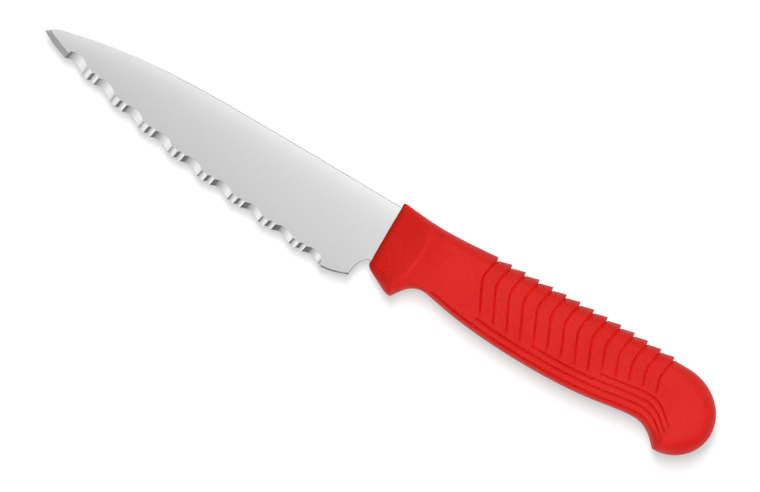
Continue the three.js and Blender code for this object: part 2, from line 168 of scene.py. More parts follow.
# %% The handle's top edge and belly
COLLAR_LENGTH = 8.5
NECK_LENGTH = 22.8
STEP_COUNT = 14
STEP_PITCH = 4.47
FIRST_STEP = COLLAR_LENGTH + NECK_LENGTH
LAST_STEP = FIRST_STEP + (STEP_COUNT - 1) * STEP_PITCH
WAIST_AT = 14
GUARD_AT = 9.6
CHOIL_DEPTH = 17.8
FRONT_DEPTH = CHOIL_DEPTH + 1

front_top = Vector((0, 1.7))
waist = Vector((WAIST_AT, 0.65))
crown = Vector((FIRST_STEP + 41.7, 1.8))
butt_top = Vector((HANDLE_LENGTH - 15.2, 1.5))
butt_end = Vector((HANDLE_LENGTH, -12))
top_edge = Outline([
    corner(front_top, Vector((waist.x - 5.6, waist.y)), waist),
    swell(waist, crown, 0.42, 0.31),
    swell(crown, butt_top, 0.4, 0.4),
    quarter(butt_top, butt_end),
])

FRONT_ROUND = 1.9
GUARD_ROUND = 1.3
front_corner = Vector((0, -FRONT_DEPTH - 0.7))
guard = Vector((GUARD_AT, -23.8))
guard_corner = guard - Vector((GUARD_ROUND, 0))
chamfer = (guard_corner - front_corner).normalized()
chamfer_start = front_corner + FRONT_ROUND * chamfer
chamfer_end = guard_corner - GUARD_ROUND * chamfer
notch = Vector((17.5, -17.85))
swell_of_belly = Vector((FIRST_STEP + 23.7, -21.4))
hook = Vector((LAST_STEP - 1.4, -18.5))
toe = Vector((HANDLE_LENGTH - 12.4, -23.75))
belly = Outline([
    corner(Vector((0, -FRONT_DEPTH)), front_corner, chamfer_start),
    straight(chamfer_start, chamfer_end),
    corner(chamfer_end, guard_corner, guard),
    swell(guard, notch, 0.13, 0.67),
    swell(notch, swell_of_belly, 0.085, 0.68),
    swell(swell_of_belly, hook, 0.6, 0.21),
    swell(hook, toe, 0.62, 0.08),
    quarter(toe, butt_end),
])
print(f"handle outline: {len(top_edge.points)} points above, {len(belly.points)} below")

# %% [markdown]
# ## Grip steps and belly lines
# The grip is a row of overlapping steps. Each climbs gently towards the butt and drops along an S-shaped
# line, and the lines end on shallow ledges that follow the belly. Cut as grooves they would need booleans on
# a curved body. Here the mesh itself follows them: rings of points run along the S-lines and rows of points
# along the ledges. Steps and ledges fall in the same way: down a short wall into a fine groove, and up again.

# %% How a step falls
FALL_WIDTH = 0.85
WALL_SHARE = 0.3
GROOVE_DEPTH = 0.4
FALL_SHARES = (0, 0.08, 0.15, 0.22, 0.3, 0.42, 0.56, 0.7, 0.85, 1)


def fall(share):
    """How far a step has fallen, from 0 to 1, and how deep the groove is, at a share of the fall's width."""
    fallen = smoothstep(0, WALL_SHARE, share)
    return fallen, GROOVE_DEPTH * fallen * (1 - smoothstep(WALL_SHARE, 1, share))


print(f"a step falls over {FALL_WIDTH * WALL_SHARE:.2f} mm, into a groove {fall(WALL_SHARE)[1]:.2f} mm deep")

# %% [markdown]
# An S-line starts with a round nose at the top edge, goes on as a straight leg that slants towards the butt,
# and turns back in a short foot on its ledge. The collar's crest is one plain bow. Both are given as a way
# behind the top end, so that a ring of points can follow them at any place along the handle.

# %% The S-lines and the collar's crest
NOSE_DEPTH = 5.7
NOSE_REACH = 1.5
NOSE_ROUND = 3
LEG_SLOPE_FIRST = 0.5
LEG_SLOPE_LAST = 0.37
FOOT_LENGTH = 2
FOOT_TURN = 0.9
CREST_BULGE = 2.8
CREST_PEAK = 6.75


def step_line(depth, slope, floor):
    """How far behind its top end an S-line is, at a depth below the top edge. Its foot is at the floor."""
    depth = min(depth, floor)
    short = min(depth / NOSE_DEPTH, 1)
    past = max(depth - NOSE_DEPTH, 0)
    bend = min(past, NOSE_ROUND)
    leg = bend * bend / (2 * NOSE_ROUND) + past - bend
    foot = max(depth - floor + FOOT_LENGTH, 0)
    turned = NOSE_REACH * (1 - (1 - short) ** 2) + FOOT_TURN * foot * foot / (2 * FOOT_LENGTH)
    return slope * leg - turned


def crest_line(share):
    """How far behind its top end the collar's crest is, at a share of its way down to the guard."""
    lean = GUARD_AT - COLLAR_LENGTH
    return CREST_BULGE * CREST_PEAK * share * (1 - share) ** 2 + lean * share ** 3


print(f"the crest is {crest_line(1 / 3):.1f} mm behind its top end, a third of the way down")

# %% [markdown]
# Four fine lines run along the belly, and each is the foot of a shallow ledge. The S-lines end on the second
# ledge at first, and on the third and the fourth further back. A jump from one ledge to the next would kink
# the mesh, so the place where the S-lines end glides over instead.

# %% The ledges along the belly
LINE_COUNT = 4
LINE_ABOVE_BELLY = 1.5
LINE_PITCH = 2.1
LINE_STEP = 0.2
STEPS_ON_SECOND_LINE = 4
STEPS_ON_THIRD_LINE = 5
THIRD_LINE_FROM = FIRST_STEP + STEPS_ON_SECOND_LINE * STEP_PITCH
FOURTH_LINE_FROM = THIRD_LINE_FROM + STEPS_ON_THIRD_LINE * STEP_PITCH


def line_gap(line):
    return LINE_ABOVE_BELLY + (line - 1) * LINE_PITCH


def past_line(line, above):
    """How far a ledge has fallen, and its groove, at a place this high above the belly."""
    return fall(min(max((line_gap(line) - above) / FALL_WIDTH + 0.5, 0), 1))


def line_under(x):
    """The ledge that the S-lines end on, which glides from the second to the fourth."""
    glide = 2 * STEP_PITCH
    third = smoothstep(THIRD_LINE_FROM - glide, THIRD_LINE_FROM + glide, x)
    fourth = smoothstep(FOURTH_LINE_FROM - glide, FOURTH_LINE_FROM + glide, x)
    return 2 + third + fourth


print("ledges above the belly in mm:", [round(line_gap(line), 2) for line in range(1, LINE_COUNT + 1)])

# %% [markdown]
# ## Rings and rows
# A ring leaves the top edge at x and runs down one side to the belly. A row is a place on every ring: so far
# below the top edge, so far above the belly, or a share of the way between the two. Near either edge the side
# curls round to the middle of the handle along a quarter of an ellipse.

# %% Rows down one side
TOP_ROUND = 2.8
TOP_ROWS = 12
SIDE_ROWS = 22
BELLY_ROWS = 8
highest_line = line_gap(LINE_COUNT) + FALL_WIDTH
lowest_line = line_gap(1) - FALL_WIDTH / 2

rows = []
for i in range(TOP_ROWS + 1):
    rows.append(("below", TOP_ROUND * (1 - math.cos(i * math.pi / 2 / TOP_ROWS))))
for i in range(1, SIDE_ROWS + 1):
    rows.append(("share", i / SIDE_ROWS))
for line in range(LINE_COUNT, 0, -1):
    rows += [("above", line_gap(line) + FALL_WIDTH * (0.5 - share)) for share in FALL_SHARES]
    if line > 1:
        rows.append(("above", line_gap(line) - LINE_PITCH / 2))
for i in range(1, BELLY_ROWS + 1):
    rows.append(("above", lowest_line * (1 - math.sin(i * math.pi / 2 / BELLY_ROWS))))
print(f"{len(rows)} rows down a side")

# %% [markdown]
# Seen from its top edge, the handle starts with a wedge, the collar, which thickens to a crest. Behind the
# crest is a small step down, and the neck swells from there to the grip. Light from overhead shows the wedge
# as a darker face and the crest as a fine bright line.

# %% How thick the handle is
FRONT_THICKNESS = 4
COLLAR_SWELL = 1.15
CREST_THICKNESS = HANDLE_THICKNESS - 2.2
CREST_STEP = 0.46
CREST_FALL = 1.1
NECK_LEVEL_AT = 24
NECK_SWELL = 2.5
STEP_RISE_SIDE = 0.45


def half_thickness(x):
    """Half the handle's thickness: the collar ends on a small step, and the neck swells behind it."""
    left = (1 - min(x / COLLAR_LENGTH, 1)) ** COLLAR_SWELL
    collar = lerp(CREST_THICKNESS, FRONT_THICKNESS, left) / 2
    along_neck = min(max((x - COLLAR_LENGTH) / (NECK_LEVEL_AT - COLLAR_LENGTH), 0), 1)
    neck = lerp(HANDLE_THICKNESS / 2, CREST_THICKNESS / 2 - CREST_STEP, (1 - along_neck) ** NECK_SWELL)
    neck -= STEP_RISE_SIDE * smoothstep(WAIST_AT, FIRST_STEP, x)
    return lerp(collar, neck, smoothstep(COLLAR_LENGTH, COLLAR_LENGTH + CREST_FALL, x))


measured_at = (0, COLLAR_LENGTH, WAIST_AT, FIRST_STEP)
print("half thickness in mm:", [round(half_thickness(x), 2) for x in measured_at])

# %% [markdown]
# A ring puts all of this together. It bows with the crest or the S-lines, and finds the belly under its lower
# end. Then it gives every row a height, a level above the core of the handle and a share of the round at the
# edge. The ledges start close together in the finger notch, and open out behind it.

# %% One ring
NECK_CROWN = 0.5
NOTCH_ROUND = 3.2
BELLY_ROUND = 1.3
BUTT_ROUND = 5.3
RIM_SHARE = 0.4
STEP_RISE_TOP = 0.85
SETTLED_SHARE = 0.5
LINES_START = 10
LINES_RUN_IN = 4.5
LINES_CLOSED = 0.35
LINES_SPREAD_FROM = 13.5
LINES_SPREAD = 6.5
LINES_END = LAST_STEP + 8
LINES_FADE_FROM = lerp(LAST_STEP, LINES_END, 0.6)
BELLY_TRIES = 4


def ring(x, risen_top, risen_side, line, groove=0, inset=0):
    """A function from row to point, for the ring at x. The grip step there has climbed by the risen shares,
    and it fades above this ledge. A groove is this deep, and an inset makes the ring thinner and lower."""
    along_neck = smoothstep(COLLAR_LENGTH, FIRST_STEP, x)
    step_share = along_neck * (1 - smoothstep(LAST_STEP, HANDLE_LENGTH, x))
    crest_share = min(x / COLLAR_LENGTH, 1 - along_neck)
    along_grip = min(max((x - FIRST_STEP) / (LAST_STEP - FIRST_STEP), 0), 1)
    slope = lerp(LEG_SLOPE_FIRST, LEG_SLOPE_LAST, along_grip)
    lowered = Vector((0, RIM_SHARE * inset))
    high = top_edge.height(x) - lowered.y
    low = belly.height(x)

    def behind(depth):
        floor = max(high - low - line_gap(line_under(x)), FOOT_LENGTH)
        bow = crest_share * crest_line(depth / (high - low)) if crest_share > 0 else 0
        return min(x + bow + step_share * step_line(depth, slope, floor), HANDLE_LENGTH)

    for _ in range(BELLY_TRIES):
        low = belly.height(behind(high - low)) + lowered.y
    squeeze = min(1, (high - low) / (TOP_ROUND + 2 * highest_line))
    opened = smoothstep(LINES_SPREAD_FROM, LINES_SPREAD_FROM + LINES_SPREAD, x)
    spread = squeeze * lerp(LINES_CLOSED, 1, opened)
    run_in = smoothstep(LINES_START, LINES_START + LINES_RUN_IN, x)
    run_out = smoothstep(LINES_FADE_FROM, LINES_END, x)
    lines_shown = run_in * (1 - run_out)
    settled = lerp(SETTLED_SHARE, risen_side, run_out) if line > 1 else risen_side
    core = half_thickness(x) - inset - (LINE_COUNT - 1) * LINE_STEP
    crown = NECK_CROWN * (1 - along_neck)
    butt = smoothstep(LAST_STEP, HANDLE_LENGTH - BUTT_ROUND, x)
    top_round = lerp(TOP_ROUND, BUTT_ROUND, butt)
    belly_round = lerp(lerp(NOTCH_ROUND, BELLY_ROUND, run_in), BUTT_ROUND, butt)

    def point(row):
        kind, amount = row
        y = lerp(high - TOP_ROUND * squeeze, low + highest_line * spread, amount)
        proud = 0
        if kind == "below":
            y = high - amount * squeeze
            proud = STEP_RISE_TOP * risen_top - groove
        if kind == "above":
            y = low + amount * spread
        ledge = line_gap(line) + FALL_WIDTH / 2
        clear = smoothstep(ledge, ledge + FOOT_LENGTH, (y - low) / spread)
        risen = STEP_RISE_SIDE * lerp(settled, risen_side, clear)
        climbed = (LINE_COUNT - 1) * LINE_STEP + risen - clear * groove
        level = climbed
        if kind == "above":
            falls = [past_line(i, amount) for i in range(1, LINE_COUNT + 1)]
            ledges = sum(1 - fallen for fallen, cut in falls) * LINE_STEP
            cuts = sum(cut for fallen, cut in falls[:line]) * lines_shown
            below_grip = lerp(climbed, ledges, lines_shown)
            level = lerp(climbed, below_grip, falls[line - 1][0]) - cuts
            proud = -ledges * lines_shown
        level -= crown * ((2 * y - high - low) / (high - low)) ** 2
        place = Vector((behind(high - y), y))
        from_top = 0 if row == rows[0] else top_edge.distance(place + lowered) / top_round
        from_belly = 0 if row == rows[-1] else belly.distance(place - lowered) / belly_round
        flat = min(from_top, from_belly, 1)
        curl = math.sqrt(1 - (1 - flat) ** 2)
        return Vector((place.x, y + proud * (1 - flat), (core + level) * curl))

    return point


print("the ring at the waist, half way down:", ring(WAIST_AT, 0, 0, line=1)(("share", 0.5)).to_tuple(2))

# %% [markdown]
# The rings are closer together where the form turns fast: round the front rim, over the crest, down each fall
# and round the end of the butt. Between two falls, a few rings climb the step's gentle ramp.

# %% Rings along the handle
RIM_ROUND = 1.4
RIM_RINGS = 8
CREST_RINGS = 7
RAMP_RINGS = 8
NECK_EASE = 1.6
COLLAR_RINGS = 18
COLLAR_CROWDING = 1.4
NECK_RINGS = 36
NECK_CROWDING = 1.3
BUTT_RINGS = 50

rings = []
for i in range(RIM_RINGS):
    turn = i * math.pi / 2 / RIM_RINGS
    drawn_in = RIM_ROUND * (1 - math.sin(turn))
    rings.append(ring(RIM_ROUND * (1 - math.cos(turn)), 0, 0, line=1, inset=drawn_in))
for i in range(COLLAR_RINGS):
    x = lerp(COLLAR_LENGTH, RIM_ROUND, (1 - i / COLLAR_RINGS) ** COLLAR_CROWDING)
    rings.append(ring(x, 0, 0, line=1))
for i in range(CREST_RINGS):
    rings.append(ring(COLLAR_LENGTH + CREST_FALL * i / CREST_RINGS, 0, 0, line=1))
for i in range(NECK_RINGS + 1):
    x = lerp(COLLAR_LENGTH + CREST_FALL, FIRST_STEP, (i / NECK_RINGS) ** NECK_CROWDING)
    risen = min(max((x - WAIST_AT) / (FIRST_STEP - WAIST_AT), 0), 1) ** NECK_EASE
    rings.append(ring(x, risen, risen, line=1))
for step in range(STEP_COUNT):
    x = FIRST_STEP + step * STEP_PITCH
    line = 2 + (step >= STEPS_ON_SECOND_LINE) + (step >= STEPS_ON_SECOND_LINE + STEPS_ON_THIRD_LINE)
    for share in FALL_SHARES[1:]:
        fallen, groove = fall(share)
        rings.append(ring(x + FALL_WIDTH * share, 1 - fallen, 1 - fallen, line, groove))
    ramp = STEP_PITCH - FALL_WIDTH if step < STEP_COUNT - 1 else 0
    for climb in [ramp * i / RAMP_RINGS for i in range(1, RAMP_RINGS + 1) if ramp]:
        rings.append(ring(x + FALL_WIDTH + climb, climb / ramp, climb / ramp, line))
for i in range(1, BUTT_RINGS + 1):
    reach = (HANDLE_LENGTH - LAST_STEP - FALL_WIDTH) * math.sin(i * math.pi / 2 / BUTT_RINGS)
    x = LAST_STEP + FALL_WIDTH + reach
    rings.append(ring(x, 0, smoothstep(LAST_STEP, LINES_END, x), LINE_COUNT))
print(f"{len(rings)} rings along the handle")

# %% [markdown]
# ## The handle's skin
# A flat grid with a column for each ring and a line for each row is wrapped onto one side of the handle, then
# mirrored to the other. Merging the doubles sews the top, the belly and the butt's end shut.

# %% Wrap a grid round the handle
WELD = 1e-4
skin = bmesh.new()
bmesh.ops.create_grid(skin, x_segments=len(rings) - 1, y_segments=len(rows) - 1, size=0.5)
for vert in skin.verts:
    column = round((vert.co.x + 0.5) * (len(rings) - 1))
    line = round((0.5 - vert.co.y) * (len(rows) - 1))
    last = column == len(rings) - 1
    vert.co = (*butt_end, 0) if last else rings[column](rows[line])
bmesh.ops.mirror(skin, geom=skin.verts[:] + skin.edges[:] + skin.faces[:], axis="Z", merge_dist=WELD)
bmesh.ops.remove_doubles(skin, verts=skin.verts, dist=WELD)
front_rim = [edge for edge in skin.edges if edge.is_boundary]
print(f"skin: {len(skin.faces)} faces, {len(front_rim)} edges round the open front")

# %% [markdown]
# ## The mouth for the blade
# The plastic closes tight round the steel. The open front is drawn in, in the plane of the front face, to a
# slot a hair wider than the blade, and from there straight back to a floor close behind the blade's shoulder.

# %% Close the front round a slot
SPINE_THICKNESS = 1.5
SLOT_GAP = 0.06
SHOULDER_LENGTH = 3
SLIVER = 1e-5


def new_verts(made):
    return [item for item in made["geom"] if isinstance(item, bmesh.types.BMVert)]


def new_edges(made):
    return [item for item in made["geom"] if isinstance(item, bmesh.types.BMEdge)]


front_face = bmesh.ops.extrude_edge_only(skin, edges=front_rim)
slot_half = SPINE_THICKNESS / 2 + SLOT_GAP
for vert in new_verts(front_face):
    vert.co.y = min(max(vert.co.y, -CHOIL_DEPTH - SLOT_GAP), SLOT_GAP)
    vert.co.z = min(max(vert.co.z, -slot_half), slot_half)
pushed_back = bmesh.ops.extrude_edge_only(skin, edges=new_edges(front_face))
bmesh.ops.translate(skin, verts=new_verts(pushed_back), vec=(SHOULDER_LENGTH + SLOT_GAP, 0, 0))
bmesh.ops.edgeloop_fill(skin, edges=new_edges(pushed_back))
bmesh.ops.remove_doubles(skin, verts=skin.verts, dist=WELD)
bmesh.ops.dissolve_degenerate(skin, edges=skin.edges, dist=SLIVER)
bmesh.ops.recalc_face_normals(skin, faces=skin.faces)
print(f"open edges left: {sum(edge.is_boundary for edge in skin.edges)}")

# %% [markdown]
# Both pieces end in the same way: from millimetres into metres, smooth shading with sharp edges only where
# two faces meet at a steep angle, and an object at the world's origin with its place in its mesh. Each then
# rides on a body of the frame, and the solid that it replaces is hidden.

# %% Finish a piece
HANDLE_SHARP_FROM = 40


def finished(drawing, name, sharp_from):
    """A drawing in millimetres as a piece of the knife, smooth but for edges sharper than an angle."""
    bmesh.ops.transform(drawing, matrix=TO_METRES, verts=drawing.verts)
    for face in drawing.faces:
        face.smooth = True
    for edge in drawing.edges:
        edge.smooth = edge.calc_face_angle(0) < math.radians(sharp_from)
    mesh = bpy.data.meshes.new(name)
    drawing.to_mesh(mesh)
    drawing.free()
    piece = bpy.data.objects.new(name, mesh)
    bpy.context.collection.objects.link(piece)
    triangles = sum(len(polygon.vertices) - 2 for polygon in mesh.polygons)
    print(f"{name}: {triangles} triangles")
    return piece


handle = finished(skin, "moulded_handle", HANDLE_SHARP_FROM)
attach(handle, "root")
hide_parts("handle")

# %% [markdown]
# ## The blade's cutting edge
# The edge is a chain of scallops, one wide and two narrow, ground into the upper side by a round wheel. Each
# is an arc over the line between two teeth. The blade is drawn as columns from the edge up to the spine: a
# column has its point on the edge, the way that the grinding climbs from there to the blade's flat, and the
# share of the steel that it takes away at the edge.

# %% Teeth and scallops
HEEL_AT = 12.2
HEEL_DEPTH = 26.5
WIDE_SCALLOP = 6.4
WIDE_SCALLOP_RISE = 1.1
FRONT_NARROW_SCALLOP = 2.05
FRONT_NARROW_RISE = 0.34
REAR_NARROW_SCALLOP = 2.4
REAR_NARROW_RISE = 0.55
WIDE_START_RECESS = 0.55
WIDE_END_RECESS = 0.3
PLAIN_EDGE_DEPTH = 11.6
EDGE_SWEEP_TIP = 9.65
EDGE_SWEEP_HEEL = 2.35
GROUPS = 8
group_length = WIDE_SCALLOP + FRONT_NARROW_SCALLOP + REAR_NARROW_SCALLOP
EDGE_START = -HEEL_AT - WIDE_SCALLOP - GROUPS * group_length

edge_heights = (
    -PLAIN_EDGE_DEPTH,
    -PLAIN_EDGE_DEPTH - EDGE_SWEEP_TIP,
    -HEEL_DEPTH + EDGE_SWEEP_HEEL,
    -HEEL_DEPTH,
)


def along_edge(x):
    return (x - EDGE_START) / (-HEEL_AT - EDGE_START)


def tooth(x, recess):
    """A tooth's point, set back from the line through the foremost teeth."""
    t = along_edge(x)
    weights = ((1 - t) ** 3, 3 * t * (1 - t) ** 2, 3 * t * t * (1 - t), t ** 3)
    return Vector((x, sum(w * h for w, h in zip(weights, edge_heights)) + recess))


def scallop(start, end, rise, steps):
    """Points along an arc that rises over the line between two teeth."""
    chord = end - start
    half = chord.length / 2
    radius = (half * half + rise * rise) / (2 * rise)
    up = Vector((-chord.y, chord.x)).normalized()
    centre = start.lerp(end, 0.5) + (rise - radius) * up
    spread = math.asin(half / radius)
    turns = [lerp(spread, -spread, i / steps) for i in range(steps + 1)]
    return [centre + Matrix.Rotation(turn, 2) @ (radius * up) for turn in turns]


print(f"scallops from {-EDGE_START:.1f} mm to {HEEL_AT:.1f} mm in front of the handle")

# %% [markdown]
# The tip has a plain edge with a bevel of one width. From there one scallop follows another up to the heel,
# where the grinding of the last one runs out. Cutting them with a wheel as a boolean would leave slivers
# wherever two cuts meet. Columns that start on the edge itself put one column right on every tooth.

# %% Columns from the edge
TIP_DEPTH = 7.8
PLAIN_EDGE_BOW = 0.25
PLAIN_EDGE_POINTS = 18
PLAIN_BEVEL = 1.7
BEVEL_AT_TIP = 2.45
BEVEL_AT_HEEL = 1.85
BEVEL_LEAN = 0.22

tip = Vector((-BLADE_LENGTH, -TIP_DEPTH))
plain_end = Vector((EDGE_START, -PLAIN_EDGE_DEPTH))


def inward(start, end):
    """The way into the steel, square to a stretch of its lower outline."""
    run = end - start
    return Vector((-run.y, run.x)).normalized()


plain_square = inward(tip, plain_end)
bow = tip.lerp(plain_end, 0.5) - 2 * PLAIN_EDGE_BOW * plain_square
climbing = Vector((BEVEL_LEAN, 1))
plain_climb = PLAIN_BEVEL / climbing.dot(plain_square) * climbing
plain_edge = points_along([corner(tip, bow, plain_end)], PLAIN_EDGE_POINTS)
columns = [(p, plain_climb, 1) for p in plain_edge]


def grind(width, recess, rise, steps):
    """Adds the columns of one more scallop, which ends on a tooth this far on."""
    start = columns[-1][0]
    for p in scallop(start, tooth(start.x + width, recess), rise, steps):
        reach = lerp(BEVEL_AT_TIP, BEVEL_AT_HEEL, along_edge(p.x))
        columns.append((p, reach * climbing, 1))


WIDE_STEPS = 22
NARROW_STEPS = 12
RUN_OUT_POWER = 6
for _ in range(GROUPS):
    grind(WIDE_SCALLOP, WIDE_END_RECESS, WIDE_SCALLOP_RISE, WIDE_STEPS)
    grind(FRONT_NARROW_SCALLOP, 0, FRONT_NARROW_RISE, NARROW_STEPS)
    grind(REAR_NARROW_SCALLOP, WIDE_START_RECESS, REAR_NARROW_RISE, NARROW_STEPS)
grind(WIDE_SCALLOP, 0, WIDE_SCALLOP_RISE, WIDE_STEPS)
for i in range(WIDE_STEPS):
    p, climb, depth = columns[i - WIDE_STEPS]
    left = math.sqrt(1 - ((i + 1) / WIDE_STEPS) ** RUN_OUT_POWER)
    columns[i - WIDE_STEPS] = (p, left * climb, left * depth)
print(f"{len(columns)} columns along the cutting edge")

# %% [markdown]
# Behind the last scallop the steel isn't ground, and the blade's lower outline goes on round the heel and up
# the curved notch in front of the handle. A stamped edge is never razor sharp, so its corner is broken with a
# small slant. It mirrors another part of the room than the flat does, and draws a thin dark line.

# %% Columns from the heel and the notch
EDGE_BREAK = 0.24
HEEL_BREAK = 0.45
HEEL_BREAK_DEPTH = 0.35
BREAK_DEPTH = 0.2
HEEL_LEVEL = 3.6
HEEL_CORNER_DEPTH = HEEL_DEPTH - 2.1
CHOIL_LENGTH = 3.6
HEEL_POINTS = 14
heel = Vector((-HEEL_AT, -HEEL_DEPTH))
heel_corner = Vector((-CHOIL_LENGTH, -HEEL_CORNER_DEPTH))
choil_top = Vector((0, -CHOIL_DEPTH))
heel_run = points_along([corner(heel, heel + Vector((HEEL_LEVEL, 0)), heel_corner)], HEEL_POINTS)
choil_run = points_along([quarter(choil_top, heel_corner)[::-1]], HEEL_POINTS)
columns += [(p, Vector((0, HEEL_BREAK)), HEEL_BREAK_DEPTH) for p in heel_run[1:-1]]
columns.append((heel_corner, Vector((-EDGE_BREAK, HEEL_BREAK)), HEEL_BREAK_DEPTH))
for start, end in zip(choil_run, choil_run[1:]):
    columns.append((end, EDGE_BREAK * inward(start, end), BREAK_DEPTH))
columns.append((choil_top + Vector((SHOULDER_LENGTH, 0)), Vector((0, EDGE_BREAK)), BREAK_DEPTH))
print(f"{len(columns)} columns along the blade")

# %% [markdown]
# ## The blade's body
# The spine is one long curve that drops to the tip. The sides thin towards the edge, and roll over a little
# at the spine, which gives the satin steel its soft change of tone there. Both are worked out first, because
# every point of the blade asks for the height of the spine above it and for the thickness of the steel.

# %% The spine and the thickness
SPINE_CROWN_AT = 55
POINT_LENGTH = 4.4
POINT_DEPTH = 5.15
POINT_SLOPE = 0.26
HEEL_THICKNESS = 0.85
SPINE_ROLL = 0.15
ROLL_LENGTH = 3

spine_top = Vector((-SPINE_CROWN_AT, SPINE_CROWN))
point_start = Vector((-BLADE_LENGTH + POINT_LENGTH, -POINT_DEPTH))
point_turn = point_start - POINT_LENGTH / 2 * Vector((1, POINT_SLOPE))
reach = (spine_top.x - point_start.x) / 3
spine = points_along([
    corner(tip, point_turn, point_start),
    (point_start, point_start + reach * Vector((1, POINT_SLOPE)), spine_top - Vector((reach, 0)), spine_top),
    corner(spine_top, Vector((-SPINE_CROWN_AT / 2, SPINE_CROWN)), Vector((0, 0))),
    straight(Vector((0, 0)), Vector((SHOULDER_LENGTH, 0))),
], OUTLINE_POINTS)


def spine_height(x):
    return float(np.interp(x, [p.x for p in spine], [p.y for p in spine]))


def half_steel(place):
    """Half the blade's thickness at a place: thinner towards the edge, and rolled a little at the spine."""
    roll = SPINE_ROLL * math.exp((place.y - spine_height(place.x)) / ROLL_LENGTH)
    return lerp(SPINE_THICKNESS, HEEL_THICKNESS, -place.y / HEEL_DEPTH) / 2 - roll


print(f"spine: {len(spine)} points, steel {2 * half_steel(heel):.2f} mm thick at the heel")

# %% [markdown]
# The blade is a grid with a front and a back. Only the front knows about the grinding: there, the lowest
# lines of the grid climb from the edge to the flat. At the tip there is less room than that needs, so each
# column first finds out how much of its grinding fits under the spine, by halving an interval many times.

# %% Where each point of the blade goes
BEVEL_ROWS = 4
FACE_ROWS = 18
FACE_CROWDING = 1.6
BREAK_SHARE = 0.28
TIP_BREAK_SHARE = 0.5
HALVINGS = 20


def ground_share(p, climb):
    """How much of a column's grinding fits under the spine, which is less than all of it at the tip."""
    low, high = 0, 1
    for _ in range(HALVINGS):
        middle = (low + high) / 2
        place = p + middle * climb
        if place.y < spine_height(place.x):
            low = middle
        else:
            high = middle
    return high


ground_shares = [ground_share(p, climb) for p, climb, depth in columns]
print(f"{sum(share < 1 for share in ground_shares)} columns at the tip have no room for all their grinding")


def blade_point(column, line, front):
    """Where a point of the grid goes: up the grinding, over the flat and down the spine's broken edge."""
    p, climb, depth = columns[column]
    ground = ground_shares[column] * min(line / BEVEL_ROWS, 1)
    place = p + ground * climb
    top = spine_height(place.x)
    up = 1 - (1 - min(max((line - BEVEL_ROWS) / FACE_ROWS, 0), 1)) ** FACE_CROWDING
    at_spine = line > BEVEL_ROWS + FACE_ROWS
    broken = EDGE_BREAK * lerp(TIP_BREAK_SHARE, 1, smoothstep(-BLADE_LENGTH, -SPINE_CROWN_AT, place.x))
    place.y = top if at_spine else lerp(place.y, max(top - broken, place.y), up)
    half = half_steel(place)
    front_z = half * (1 - 2 * depth * (1 - ground))
    z = front_z if front else -half
    return Vector((*place, lerp(z, (front_z - half) / 2, BREAK_SHARE) if at_spine else z))


# %% [markdown]
# The grid is extruded while it is still a flat square, which makes the front face and the walls in one go.
# The front face is easy to tell from the rest there, so the ground part gets its finish at the same time.
# Then every point goes to its place on the blade, and those that fall together are merged.

# %% Lay out and extrude the blade
BLADE_SHARP_FROM = 18
blank = bmesh.new()
lines = BEVEL_ROWS + FACE_ROWS + 1
bmesh.ops.create_grid(blank, x_segments=len(columns) - 1, y_segments=lines, size=0.5)
raised = bmesh.ops.extrude_face_region(blank, geom=blank.faces[:])
bmesh.ops.translate(blank, verts=new_verts(raised), vec=(0, 0, 1))
SATIN, GROUND = 0, 1
ground_top = BEVEL_ROWS / lines - 0.5
for face in blank.faces:
    middle = face.calc_center_median()
    on_front = middle.z > 0.9
    face.material_index = GROUND if on_front and middle.y < ground_top else SATIN
for vert in blank.verts:
    column = round((vert.co.x + 0.5) * (len(columns) - 1))
    line = round((vert.co.y + 0.5) * lines)
    vert.co = blade_point(column, line, vert.co.z > 0.5)
bmesh.ops.remove_doubles(blank, verts=blank.verts, dist=WELD)
bmesh.ops.dissolve_degenerate(blank, edges=blank.edges, dist=SLIVER)
bmesh.ops.recalc_face_normals(blank, faces=blank.faces)
print(f"blade: {len(blank.faces)} faces, {sum(edge.is_boundary for edge in blank.edges)} open edges")

blade = finished(blank, "ground_blade", BLADE_SHARP_FROM)
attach(blade, "root")
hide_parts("blade")

# %% [markdown]
# ## Materials
# Every pattern here reads Object coordinates, which are the knife's own metres, so a grain of half a
# millimetre is that size wherever the piece goes. A few small helpers keep the node trees readable.

# %% Node helpers
NOISE_LOW = 0.3
NOISE_HIGH = 0.7


def new_material(name):
    material = bpy.data.materials.new(name)
    material.use_nodes = True
    return material, material.node_tree.nodes, material.node_tree.links


def place_in(nodes, links, scale):
    """Object coordinates, stretched by a scale along each axis."""
    coordinates = nodes.new("ShaderNodeTexCoord")
    mapping = nodes.new("ShaderNodeMapping")
    mapping.inputs["Scale"].default_value = scale
    links.new(coordinates.outputs["Object"], mapping.inputs["Vector"])
    return mapping.outputs["Vector"]


def noise(nodes, links, vector, detail):
    texture = nodes.new("ShaderNodeTexNoise")
    texture.inputs["Scale"].default_value = 1
    texture.inputs["Detail"].default_value = detail
    links.new(vector, texture.inputs["Vector"])
    return texture.outputs["Fac"]


def between(nodes, links, share, low, high):
    """A noise share as a number between two ends."""
    spread = nodes.new("ShaderNodeMapRange")
    spread.inputs["From Min"].default_value = NOISE_LOW
    spread.inputs["From Max"].default_value = NOISE_HIGH
    spread.inputs["To Min"].default_value = low
    spread.inputs["To Max"].default_value = high
    links.new(share, spread.inputs["Value"])
    return spread.outputs["Result"]


